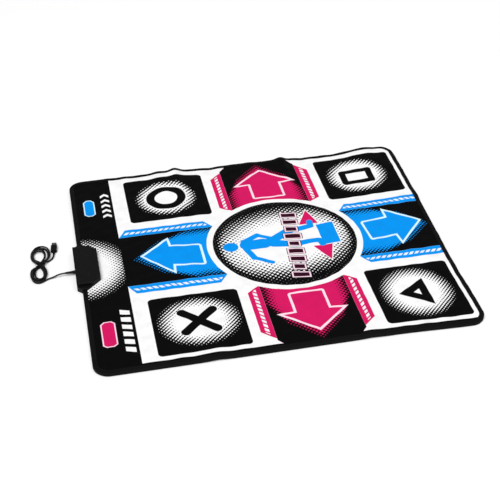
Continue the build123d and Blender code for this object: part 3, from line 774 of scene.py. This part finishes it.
def sheetPiece(name, faces, zTop, zLow, regions=None, loose=1.0, underside=None):
    # a closed sheet from flat faces: top, underside and a wall round every open edge
    numbers, places = {}, []

    def point(p):
        key = (round(p[0], 3), round(p[1], 3))
        if key not in numbers:
            numbers[key] = len(places)
            places.append(p)
        return numbers[key]

    loops = [[point(p) for p in face] for face in faces]
    count, sheets = len(places), len(loops)
    edges = dict.fromkeys((a, b) for loop in loops for a, b in zip(loop, loop[1:] + loop[:1]))
    walls = [(a, b) for a, b in edges if (b, a) not in edges]
    allFaces = loops + [[v + count for v in reversed(loop)] for loop in loops]
    allFaces += [[b, a, a + count, b + count] for a, b in walls]
    flat = np.array(places, float)
    x, y = np.tile(flat[:, 0], 2), np.tile(flat[:, 1], 2)
    z = np.repeat([zTop, zLow], count)
    if underside is not None:
        z[count:] = [underside(*p) for p in places]
    laid = np.array(lay(x, y, z, loose)).T * millimetre
    mesh = bpy.data.meshes.new(name)
    mesh.from_pydata(laid.tolist(), [], allFaces)
    markFlat(mesh, np.column_stack([x, y, z]))
    normals = layNormal(x, y, z, loose)
    loopNormals = []
    for number, face in enumerate(allFaces):
        if number < sheets:
            loopNormals += [tuple(normals[v]) for v in face]
        elif number < 2 * sheets:
            loopNormals += [tuple(-normals[v]) for v in face]
        else:
            a, b, c = (laid[v] for v in face[:3])
            n = np.cross(b - a, c - b)
            loopNormals += [tuple(n / (np.linalg.norm(n) or 1))] * 4
    if regions is not None:
        owner = {}  # a wall takes the print of the face above it
        for loop, region in zip(loops, regions):
            for v in loop:
                owner.setdefault(v, region)
        mesh.polygons.foreach_set("material_index", regions + regions + [owner[a] for a, b in walls])
    mesh.polygons.foreach_set("use_smooth", [True] * len(mesh.polygons))
    mesh.normals_split_custom_set(loopNormals)
    mesh.update()
    return mesh


def steps(marks, gap):
    # the marks, with lines between them no more than gap apart
    lines = []
    for a, b in zip(marks, marks[1:]):
        count = max(1, math.ceil((b - a) / gap - 1e-6))
        lines += [a + (b - a) * i / count for i in range(count)]
    return lines + [marks[-1]]


def unique(values):
    kept = []
    for value in sorted(values):
        if not kept or value - kept[-1] > 0.01:
            kept.append(value)
    return kept


cover = {
    "gap": 7.0, "inset": 0.7, "corner": 38.0, "tapeIn": 12.3, "lip": 0.5, "onTape": 0.75,
    "ramp": 14.0, "keyRamp": 7.0, "rampSteps": 3,  # width of the strip round each switch
    "notch": [(-84, 84, 447), (-66, 66, 429)],     # cut out at the control box: left, right, back
}


def roundCorner(x, y):
    # squares the outer corners' grid onto a round corner
    radius = cover["corner"] - cover["inset"]
    midX, midY = coverHigh[0] - radius, coverHigh[1] - radius
    s, t = (abs(x) - midX) / radius, (abs(y) - midY) / radius
    if s <= 0 or t <= 0:
        return x, y
    k = max(s, t) / math.hypot(s, t)
    return math.copysign(midX + radius * s * k, x), math.copysign(midY + radius * t * k, y)


def quads(xs, ys, keep=lambda x, y: True):
    faces = []
    for x0, x1 in zip(xs, xs[1:]):
        for y0, y1 in zip(ys, ys[1:]):
            if keep((x0 + x1) / 2, (y0 + y1) / 2):
                faces.append([(x0, y0), (x1, y0), (x1, y1), (x0, y1)])
    return faces


def rampOf(zone):
    return cover["keyRamp"] if zone.endswith("key") else cover["ramp"]


# how far round the control box the foam and base are cut away
room = {"play": 0.3, "ear": 38.0, "body": 79.0}
boxCut = [(shellLow[0] - boxMid - room["play"], shellHigh[0] - boxMid + room["play"],
           boxFront - room["ear"] - room["play"]),
          (-room["body"] - room["play"], room["body"] + room["play"], boxBack - room["play"])]


def sharedGrid():
    # every layer of the mat is cut on these lines, so that they nest however the mat lies
    radius = cover["corner"] - cover["inset"]
    marksX = {coverLow[0], coverHigh[0], coverHigh[0] - radius, coverLow[0] + radius}
    marksY = {coverLow[1], coverHigh[1], coverHigh[1] - radius, coverLow[1] + radius, stripLine}
    for name, (low, high) in zones.items():
        ramp = rampOf(name)
        marksX |= {low[0], high[0], low[0] - ramp, high[0] + ramp}
        marksY |= {low[1], high[1], low[1] - ramp, high[1] + ramp}
    for left, right, back in [*cover["notch"], *boxCut]:
        marksX |= {boxMid + left, boxMid + right}
        marksY |= {back}
    for edge in (cover["tapeIn"], cover["tapeIn"] - cover["lip"]):
        marksX |= {tapeLow[0] + edge, tapeHigh[0] - edge}
        marksY |= {tapeLow[1] + edge, tapeHigh[1] - edge}
    return steps(unique(marksX), cover["gap"]), steps(unique(marksY), cover["gap"])


gridX, gridY = sharedGrid()


def between(lines, low, high):
    return [line for line in lines if low - 0.01 <= line <= high + 0.01]


def rampStrip(block, side, linesX, linesY):
    # faces of a mitred strip from a switch's edge outward, and where its bend starts and ends
    x0, y0, x1, y1, ramp = block
    ax, ay, bx, by = {"xHigh": (x1, y0, x1, y1), "xLow": (x0, y0, x0, y1),
                      "yHigh": (x0, y1, x1, y1), "yLow": (x0, y0, x1, y0)}[side]
    outX = {"xHigh": 1, "xLow": -1}.get(side, 0)
    outY = {"yHigh": 1, "yLow": -1}.get(side, 0)
    shares = [(y - ay) / (by - ay) for y in linesY] if outX else [(x - ax) / (bx - ax) for x in linesX]
    rows = []
    for k in range(cover["rampSteps"] + 1):
        off = ramp * k / cover["rampSteps"]
        row = []
        for t in shares:
            spread = off * (2 * t - 1)  # the row grows at both ends, so the strips meet on the diagonal
            px, py = ax + (bx - ax) * t, ay + (by - ay) * t
            row.append((px + outX * off, py + spread) if outX else (px + spread, py + outY * off))
        rows.append(row)
    faces = [[low[i], high[i], high[i + 1], low[i + 1]]
             for low, high in zip(rows, rows[1:]) for i in range(len(shares) - 1)]
    if side in ("xLow", "yHigh"):
        faces = [face[::-1] for face in faces]
    edgeX, edgeY = (ax if outX else (x0 + x1) / 2), (ay if outY else (y0 + y1) / 2)
    height = coverHigh[2] * millimetre
    start = ((edgeX + outX * ramp) * millimetre, (edgeY + outY * ramp) * millimetre, height)
    return faces, start, (edgeX * millimetre, edgeY * millimetre, height)


def makeCover():
    zTop, zLow = coverHigh[2], coverLow[2]
    blocks = {name: (low[0], low[1], high[0], high[1], rampOf(name)) for name, (low, high) in zones.items()}

    def field(x, y):
        if any(boxMid + left < x < boxMid + right and y > back for left, right, back in cover["notch"]):
            return False
        return not any(x0 - r < x < x1 + r and y0 - r < y < y1 + r for x0, y0, x1, y1, r in blocks.values())

    faces = quads(gridX, gridY, field)
    regions = [regionOf(sum(p[0] for p in f) / 4, sum(p[1] for p in f) / 4) for f in faces]
    faces = [[roundCorner(*p) for p in f] for f in faces]
    mesh = sheetPiece("coverField", faces, zTop, zLow, regions)
    piece = newPiece("coverField", mesh, "printed_cover", *(prints[name] for name in regionNames))
    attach(piece, "mat")
    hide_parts("cover_sheet")
    parts = []
    for name, block in blocks.items():
        x0, y0, x1, y1, _ = block
        inner = prints["strip"] if name.endswith("key") else prints[name]
        linesX, linesY = between(gridX, x0, x1), between(gridY, y0, y1)
        mesh = sheetPiece(name + "_cover", quads(linesX, linesY), zTop, zLow)
        patch = newPiece(name + "_cover", mesh, "printed_cover", inner)
        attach(patch, name)
        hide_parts(name + "_panel")
        parts.append(patch)
        for side in ("xHigh", "xLow", "yHigh", "yLow"):
            strip, start, end = rampStrip(block, side, linesX, linesY)
            mesh = sheetPiece(name + "_ramp_" + side, strip, zTop, zLow)
            ribbon = newPiece(name + "_ramp_" + side, mesh, "printed_cover", inner)
            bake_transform(ribbon)
            parts.append(ribbon)
    return piece, parts


coverField, coverParts = makeCover()
print("stage: cover")


# hidden layers, laid the same way
def layerFaces(holes, notch):
    # a whole layer of the mat, cut out round the control box and at each window
    def kept(x, y):
        if any(boxMid + left < x < boxMid + right and y > back for left, right, back in notch):
            return False
        return not any(low[0] < x < high[0] and low[1] < y < high[1] for low, high in holes)

    return [[roundCorner(*p) for p in f] for f in quads(gridX, gridY, kept)]


def makeLayers():
    windows = []
    for zone in zoneNames:  # as wide as the cover's ramp round each switch
        low, high = nodeBox(zone + "_contact")
        grow = rampOf(zone)
        windows.append(([low[0] - grow, low[1] - grow], [high[0] + grow, high[1] + grow]))
    whole, windowed = layerFaces([], boxCut), layerFaces(windows, cover["notch"])
    notched = layerFaces([], cover["notch"])
    inX, inY = tapeHigh[0] - cover["tapeIn"] + 0.01, tapeHigh[1] - cover["tapeIn"] + 0.01

    def under(x, y):  # the base's edge lies on the lower half of the tape
        return 0.0 if abs(x) < inX and abs(y) < inY else cover["onTape"]

    made = {}
    for node, name, slotName, faces in (("base_sheet", "baseSheet", "base_cloth", whole),
                                        ("padding_foam", "paddingFoam", "padding", whole),
                                        ("lower_contact_film", "lowerFilm", "contact_film", notched),
                                        ("spacer_sheet", "spacerSheet", "spacer_foam", windowed),
                                        ("upper_contact_film", "upperFilm", "contact_film", windowed)):
        low, high = nodeBox(node)
        below = under if name == "baseSheet" else None
        mesh = sheetPiece(name, faces, high[2], low[2], loose=0.0, underside=below)
        made[name] = newPiece(name, mesh, slotName, finishes[slotName])
        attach(made[name], "mat")
        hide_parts(node)
    for zone in zoneNames:
        low, high = nodeBox(zone + "_contact")
        faces = quads(between(gridX, low[0], high[0]), between(gridY, low[1], high[1]))
        mesh = sheetPiece(zone + "_film", faces, high[2], low[2], loose=0.0)
        made[zone] = newPiece(zone + "_film", mesh, "contact_film", finishes["contact_film"])
        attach(made[zone], zone)
        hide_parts(zone + "_contact")
    return made


def simpleFinish(name, colour, roughness, scale, amount, strength=0.2, distance=0.0004, metallic=0.0,
                 specular=0.5):
    # fine grain and broad mottling in one colour; amount is how far the colour varies
    material, tree, shader = freshMaterial(name)
    where = objectPlace(tree)
    grain = noise(tree, where, scale, 4.0, 0.6)
    broad = noise(tree, where, scale * 0.06, 3.0)
    mixed = mixColour(tree, clamp01(broad * 0.7 + grain * 0.3), [c * (1 - amount) for c in colour],
                      [min(1, c * (1 + amount)) for c in colour])
    tree.links.new(mixed.socket, shader.inputs["Base Color"])
    tree.links.new((roughness - 0.07 + grain * 0.14).socket, shader.inputs["Roughness"])
    shader.inputs["Metallic"].default_value = metallic
    shader.inputs["Specular IOR Level"].default_value = specular
    addBump(tree, shader, grain, strength, distance)
    return material


finishes = {
    "padding": simpleFinish("paddingFoam", (0.62, 0.62, 0.58), 0.9, 900, 0.12, 0.5, 0.0005),
    "contact_film": simpleFinish("contactFilm", (0.72, 0.73, 0.72), 0.35, 300, 0.05, 0.1, 0.0002),
    "spacer_foam": simpleFinish("spacerFoam", (0.20, 0.21, 0.23), 0.9, 1100, 0.15, 0.5, 0.0004),
}


grip = {"dark": (0.012, 0.012, 0.013), "light": (0.022, 0.022, 0.024), "dot": (0.030, 0.030, 0.032),
        "rows": 0.785, "threads": 6.2}


def gripCloth():
    # underside cloth with rows of rubbery grip dots
    material, tree, shader = freshMaterial("gripCloth")
    x, y, where = flatXY(tree)
    share = clamp01(cosine(x * grip["rows"]) * 0.25 + cosine(y * grip["rows"]) * 0.25 + 0.5)
    dot = clamp01((share - 0.74) * 14.0)
    weave = cosine(x * grip["threads"]) * cosine(y * grip["threads"])
    mottle = noise(tree, where, 0.03, 4.0)
    cloth = mixColour(tree, mottle, grip["dark"], grip["light"])
    colour = mixColour(tree, dot, cloth, grip["dot"])
    tree.links.new(colour.socket, shader.inputs["Base Color"])
    tree.links.new((0.85 - dot * 0.35).socket, shader.inputs["Roughness"])
    addBump(tree, shader, weave * 0.12 + dot * 1.0 + mottle * 0.4, 0.6, 0.0006)
    return material


finishes["base_cloth"] = gripCloth()
laidLayers = makeLayers()
print("stage: layers")


# edge tape with its stitches
tape = {"wide": 12.0, "thick": 0.7, "corner": 38.0, "step": 1.8, "gap": 0.4, "pucker": 0.16,
        "puckerPitch": 6.4, "sharp": 50, "dark": (0.0014, 0.0014, 0.0016), "light": (0.0042, 0.0042, 0.0045),
        "threads": 5.2}
stitch = {"in": 9.0, "pitch": 4.6, "long": 3.4, "thick": 0.55, "sides": 6, "first": 3.0, "sunk": 0.06,
          "bow": 0.25, "lowest": 0.02,
          "rings": [(-0.5, 0.25), (-0.38, 0.9), (0.0, 1.0), (0.38, 0.9), (0.5, 0.25)]}  # place and thickness


def outline():
    # points round the mat's edge with the way inward, from the box's right side round to its left
    halfX, halfY, radius = tapeHigh[0], tapeHigh[1], tape["corner"]
    startX = shellHigh[0] + tape["gap"]
    endX = shellLow[0] - tape["gap"]
    runs = [("line", (startX, halfY), (halfX - radius, halfY), (0, -1)),
            ("arc", (halfX - radius, halfY - radius), 90),
            ("line", (halfX, halfY - radius), (halfX, -halfY + radius), (-1, 0)),
            ("arc", (halfX - radius, -halfY + radius), 0),
            ("line", (halfX - radius, -halfY), (-halfX + radius, -halfY), (0, 1)),
            ("arc", (-halfX + radius, -halfY + radius), -90),
            ("line", (-halfX, -halfY + radius), (-halfX, halfY - radius), (1, 0)),
            ("arc", (-halfX + radius, halfY - radius), 180),
            ("line", (-halfX + radius, halfY), (endX, halfY), (0, -1))]
    points = []
    for run in runs:
        if run[0] == "line":
            (ax, ay), (bx, by), inward = run[1:]
            count = max(2, round(math.hypot(bx - ax, by - ay) / tape["step"]))
            for i in range(count):
                t = i / count
                points.append((ax + (bx - ax) * t, ay + (by - ay) * t, *inward))
        else:
            (mx, my), first = run[1:]
            count = round(radius * math.pi / 2 / tape["step"])
            for i in range(count):
                angle = math.radians(first - 90 * i / count)
                c, s = math.cos(angle), math.sin(angle)
                points.append((mx + radius * c, my + radius * s, -c, -s))
    points.append((endX, halfY, 0, -1))
    return np.array(points)


def tapeProfile():
    # outer skin then inner skin, as (in from the edge, height)
    t, w, high = tape["thick"], tape["wide"], tapeHigh[2]
    outer = [(w, 0.15), (w - 0.4, 0.0), (7.0, 0.0), (2.6, 0.0), (1.0, 0.12), (0.22, 0.8), (0.0, 2.6),
             (-0.1, 4.5), (0.0, 6.4), (0.22, 8.2), (1.0, 8.9), (2.6, high), (5.0, high + 0.08),
             (7.4, high + 0.02), (8.6, high - 0.10), (9.4, high - 0.10), (10.6, high + 0.02), (w - 0.4, high),
             (w, high - 0.2)]
    inner = [(w, high - t + 0.02), (6.0, high - t + 0.02), (1.6, high - t - 0.1), (0.8, 6.4), (0.75, 4.5),
             (0.8, 2.6), (1.6, t + 0.05), (6.0, t - 0.02), (w, t - 0.02)]
    return outer + inner


def turnOutward(mesh):
    work = bmesh.new()
    work.from_mesh(mesh)
    bmesh.ops.recalc_face_normals(work, faces=work.faces[:])
    work.to_mesh(mesh)
    work.free()
    mesh.polygons.foreach_set("use_smooth", [True] * len(mesh.polygons))


def tapeFinish():
    material, tree, shader = freshMaterial("edgeTape")
    run, over, where = flatXY(tree)
    threads = tape["threads"]
    weave = cosine(run * threads) * 0.5 + cosine(over * threads + cosine(run * (threads / 2)) * 1.5) * 0.5
    mottle = noise(tree, where, 0.08, 4.0)
    colour = mixColour(tree, clamp01(weave * 0.25 + mottle * 0.8), tape["dark"], tape["light"])
    tree.links.new(colour.socket, shader.inputs["Base Color"])
    tree.links.new((0.52 + mottle * 0.2).socket, shader.inputs["Roughness"])
    shader.inputs["Specular IOR Level"].default_value = 0.08
    addBump(tree, shader, weave + mottle, 0.35, 0.0003)
    return material


def makeTape(line, along):
    profile = np.array(tapeProfile())
    count, across = len(line), len(profile)
    d, z = profile[:, 0], profile[:, 1]
    # the top flange puckers a little between stitches
    wave = np.sin(along * 2 * math.pi / tape["puckerPitch"]) + 0.6 * np.sin(along * 0.31 + 1.0)
    flange = np.clip((z - 8.2) / 0.8, 0, 1) * ease(d, 3.0, 8.0)
    lift = tape["pucker"] * wave[:, None] * flange[None, :] * 0.5
    x = line[:, 0][:, None] + line[:, 2][:, None] * d[None, :]
    y = line[:, 1][:, None] + line[:, 3][:, None] * d[None, :]
    height = np.broadcast_to(z, (count, across)) + np.maximum(lift, 0)
    laid = np.array(lay(x.ravel(), y.ravel(), height.ravel())).T * millimetre
    faces = []
    for i in range(count - 1):
        for j in range(across):
            k = (j + 1) % across
            faces.append([i * across + j, i * across + k, (i + 1) * across + k, (i + 1) * across + j])
    faces.append(list(range(across))[::-1])
    faces.append([(count - 1) * across + j for j in range(across)])
    mesh = bpy.data.meshes.new("edgeTape")
    mesh.from_pydata(laid.tolist(), [], faces)
    markFlat(mesh, np.column_stack([np.repeat(along, across), np.tile(d, count), height.ravel()]))
    turnOutward(mesh)
    mesh.set_sharp_from_angle(angle=math.radians(tape["sharp"]))
    piece = newPiece("edgeTape", mesh, "binding", tapeFinish())
    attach(piece, "mat")
    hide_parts("edge_binding")
    return piece


def makeStitches(line, along):
    places, faces, sides, rings = [], [], stitch["sides"], stitch["rings"]
    at = stitch["first"]
    while at < along[-1] - stitch["first"]:
        for level, sign in ((tapeHigh[2] - stitch["sunk"], 1), (stitch["sunk"], -1)):
            first = len(places)
            for offset, size in rings:
                run = at + offset * stitch["long"]
                px, py, nx, ny = (np.interp(run, along, line[:, c]) for c in range(4))
                norm, half = math.hypot(nx, ny), stitch["thick"] / 2 * size
                bend = (0.5 - abs(offset)) * stitch["bow"] * sign
                for k in range(sides):
                    angle = 2 * math.pi * k / sides
                    deep = (stitch["in"] + math.cos(angle) * half) / norm
                    high = max(stitch["lowest"], level + bend + math.sin(angle) * half)
                    places.append((px + nx * deep, py + ny * deep, high))
            for r in range(len(rings) - 1):
                for k in range(sides):
                    n = (k + 1) % sides
                    a, b = first + r * sides, first + (r + 1) * sides
                    faces.append([a + k, b + k, b + n, a + n])
            faces.append([first + k for k in range(sides)])
            last = first + (len(rings) - 1) * sides
            faces.append([last + k for k in reversed(range(sides))])
        at += stitch["pitch"]
    laid = np.array(lay(*np.array(places).T)).T * millimetre
    mesh = bpy.data.meshes.new("tapeStitches")
    mesh.from_pydata(laid.tolist(), [], faces)
    turnOutward(mesh)
    thread = simpleFinish("threadTwist", (0.008, 0.008, 0.0085), 0.6, 2400, 0.3, 0.4, 0.0001, specular=0.15)
    piece = newPiece("tapeStitches", mesh, "binding", thread)
    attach(piece, "mat")
    return piece


tapeLine = outline()
tapeRun = np.concatenate([[0], np.cumsum(np.hypot(*np.diff(tapeLine[:, :2], axis=0).T))])
edgeTape = makeTape(tapeLine, tapeRun)
tapeStitches = makeStitches(tapeLine, tapeRun)
print("stage: tape")


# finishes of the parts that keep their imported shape
wear = {"high": shellHigh[2] * millimetre, "deep": 0.0022, "share": 0.12, "colour": (0.09, 0.09, 0.092)}


def mouldedPlastic(name, colour, roughness, grainScale, worn=False):
    # fine moulded grain, smears, and rubbed upper edges where it is worn
    material, tree, shader = freshMaterial(name)
    where = objectPlace(tree)
    grain = noise(tree, where, grainScale, 3.0, 0.55)
    smear = noise(tree, where, 28.0, 4.0, 0.6)
    tone = mixColour(tree, smear, [c * 0.85 for c in colour], [c * 1.25 for c in colour])
    if worn:
        z = splitOf(tree, where)[2]
        nearTop = clamp01((z - (wear["high"] - wear["deep"])) * 500.0)
        rub = clamp01((noise(tree, where, 140.0, 5.0, 0.7) - 0.56) * 6.0)
        tone = mixColour(tree, both(nearTop, rub) * wear["share"], tone, wear["colour"])
    tree.links.new(tone.socket, shader.inputs["Base Color"])
    tree.links.new((roughness - 0.08 + smear * 0.16).socket, shader.inputs["Roughness"])
    shader.inputs["Specular IOR Level"].default_value = 0.12
    addBump(tree, shader, grain, 0.30, 0.00025)
    return material


def dress():
    black = (0.0022, 0.0022, 0.0025)
    looks = {
        "box_plastic": mouldedPlastic("boxPlastic", black, 0.5, 2600, worn=True),
        "relief_rubber": mouldedPlastic("reliefRubber", black, 0.55, 3200),
        "cord_jacket": simpleFinish("cordJacket", (0.0024, 0.0024, 0.0026), 0.45, 2200, 0.3, 0.2, 0.0001,
                                    specular=0.2),
        "plug_plastic": mouldedPlastic("plugPlastic", black, 0.5, 3000),
        "tie_plastic": mouldedPlastic("tieBand", (0.005, 0.005, 0.005), 0.45, 2400),
        "plug_steel": simpleFinish("plugSteel", (0.16, 0.16, 0.17), 0.38, 1800, 0.06, 0.15, 0.0001, 1.0),
        "tongue_plastic": simpleFinish("tonguePlastic", (0.78, 0.78, 0.8), 0.4, 1500, 0.05),
        "contact_metal": simpleFinish("contactMetal", (0.82, 0.6, 0.22), 0.28, 2000, 0.08, 0.1, 0.0001, 1.0),
        "screw_steel": simpleFinish("screwSteel", (0.5, 0.5, 0.51), 0.38, 2200, 0.1, 0.25, 0.0001, 1.0),
        "board": simpleFinish("boardLaminate", (0.02, 0.16, 0.05), 0.4, 1800, 0.2, 0.15, 0.0001),
        "clamp_rubber": simpleFinish("clampRubber", (0.03, 0.03, 0.03), 0.8, 1500, 0.2),
        "clamp_plastic": simpleFinish("clampBar", (0.04, 0.04, 0.043), 0.6, 2000, 0.15),
        "chip_resin": simpleFinish("chipResin", (0.012, 0.012, 0.013), 0.35, 1600, 0.2),
        "component_cans": simpleFinish("componentCans", (0.6, 0.6, 0.62), 0.35, 1500, 0.1, 0.15, 0.0001, 1.0),
        "header_plastic": simpleFinish("headerPlastic", (0.8, 0.78, 0.7), 0.45, 1600, 0.06),
        "lead_wire": simpleFinish("leadWire", (0.42, 0.03, 0.025), 0.4, 1800, 0.15),
        **finishes,
    }
    for row in frame["record"]["subparts"]:
        part = nodes.get(row["node"])
        if part is not None:
            part.data.materials.clear()
            part.data.materials.append(looks[row["material_slot"]])
    return looks


finishes["printed_cover"] = prints["centre"]
finishes["binding"] = edgeTape.data.materials[0]
looks = dress()
leadCord.data.materials.append(looks["cord_jacket"])
print("stage: finishes")

# floor and light
studio = {
    "floor": (0.92, 0.92, 0.92), "floorHalf": 30.0, "floorHigh": -0.0004, "world": 0.36,
    "sun": 2.35, "sunWide": 40.0, "sunFrom": (-0.55, 0.35, 1.0),
    "panels": {"keyLight": ((-1.6, 1.2, 3.4), 22), "fillLight": ((-0.8, -1.8, 3.2), 18)}, "panelWide": 3.0,
}


def addLight(name, kind, fromPlace, energy):
    lamp = bpy.data.lights.new(name, kind)
    lamp.energy = energy
    light = bpy.data.objects.new(name, lamp)
    light.rotation_euler = (-Vector(fromPlace)).to_track_quat("-Z", "Y").to_euler()
    bpy.context.scene.collection.objects.link(light)
    return light, lamp


def makeStudio():
    mesh = bpy.data.meshes.new("paleFloor")
    half, high = studio["floorHalf"], studio["floorHigh"]
    mesh.from_pydata([(-half, -half, high), (half, -half, high), (half, half, high), (-half, half, high)],
                     [], [(0, 1, 2, 3)])
    floor = bpy.data.objects.new("paleFloor", mesh)
    bpy.context.scene.collection.objects.link(floor)
    material, tree, shader = freshMaterial("paleFloor")
    tone = noise(tree, objectPlace(tree), 6.0, 2.0)
    shade = mixColour(tree, tone, [c * 0.995 for c in studio["floor"]], studio["floor"])
    tree.links.new(shade.socket, shader.inputs["Base Color"])
    shader.inputs["Roughness"].default_value = 0.8
    shader.inputs["Specular IOR Level"].default_value = 0.2
    mesh.materials.append(material)
    world = bpy.data.worlds.new("studioWorld")
    world.use_nodes = True
    world.node_tree.nodes["Background"].inputs["Color"].default_value = (1, 1, 1, 1)
    world.node_tree.nodes["Background"].inputs["Strength"].default_value = studio["world"]
    bpy.context.scene.world = world
    bpy.context.scene.view_settings.view_transform = "Standard"
    for name, (place, power) in studio["panels"].items():
        light, lamp = addLight(name, "AREA", place, power)
        lamp.shape, lamp.size = "SQUARE", studio["panelWide"]
        light.location = place
    light, lamp = addLight("skyPanel", "SUN", studio["sunFrom"], studio["sun"])
    lamp.angle = math.radians(studio["sunWide"])


makeStudio()
print("stage: studio")
